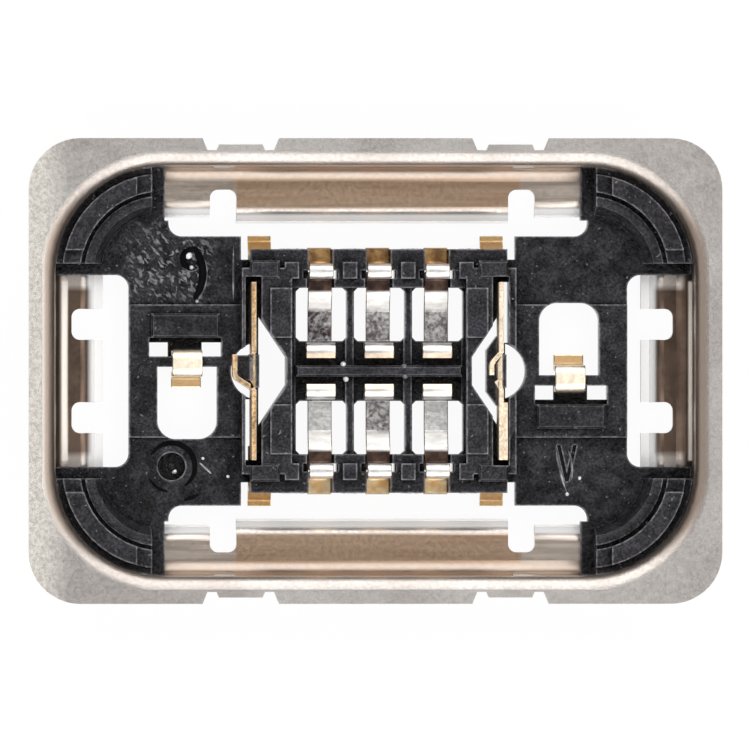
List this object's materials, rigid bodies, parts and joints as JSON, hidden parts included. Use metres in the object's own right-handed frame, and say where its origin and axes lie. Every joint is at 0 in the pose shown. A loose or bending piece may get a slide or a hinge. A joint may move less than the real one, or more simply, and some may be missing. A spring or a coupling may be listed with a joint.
{
  "type": "flexible printed circuit connector",
  "caption": "Low receptacle of a shielded board connector: drawn metal shell round a black moulding with gold spring contacts and shield blades.",
  "frame": {"origin": "centre of the ground shell on the solder plane, under the middle of the connector", "axes": "+X along the connector's length, +Y across it, +Z from the solder plane to the mating side"},
  "size_m": [0.0042, 0.0028, 0.0006],
  "materials": {
    "shell_nickel": "satin nickel plate, lightly mottled from drawing",
    "black_moulding": "black glass-filled moulding, fine flow ripples",
    "signal_gold": "thin gold plate on a formed copper alloy strip",
    "wide_contact_gold": "thin gold plate on a formed copper alloy strip",
    "blade_gold": "thin gold plate, sheared edges"
  },
  "bodies": {
    "root": {"ground_shell": "shell_nickel", "housing": "black_moulding", "signal_contact_1": "signal_gold", "signal_contact_2": "signal_gold", "signal_contact_3": "signal_gold", "signal_contact_4": "signal_gold", "signal_contact_5": "signal_gold", "signal_contact_6": "signal_gold", "rf_contact_left": "wide_contact_gold", "rf_contact_right": "wide_contact_gold", "shield_blade_left": "blade_gold", "shield_blade_right": "blade_gold"}
  },
  "joints": []
}
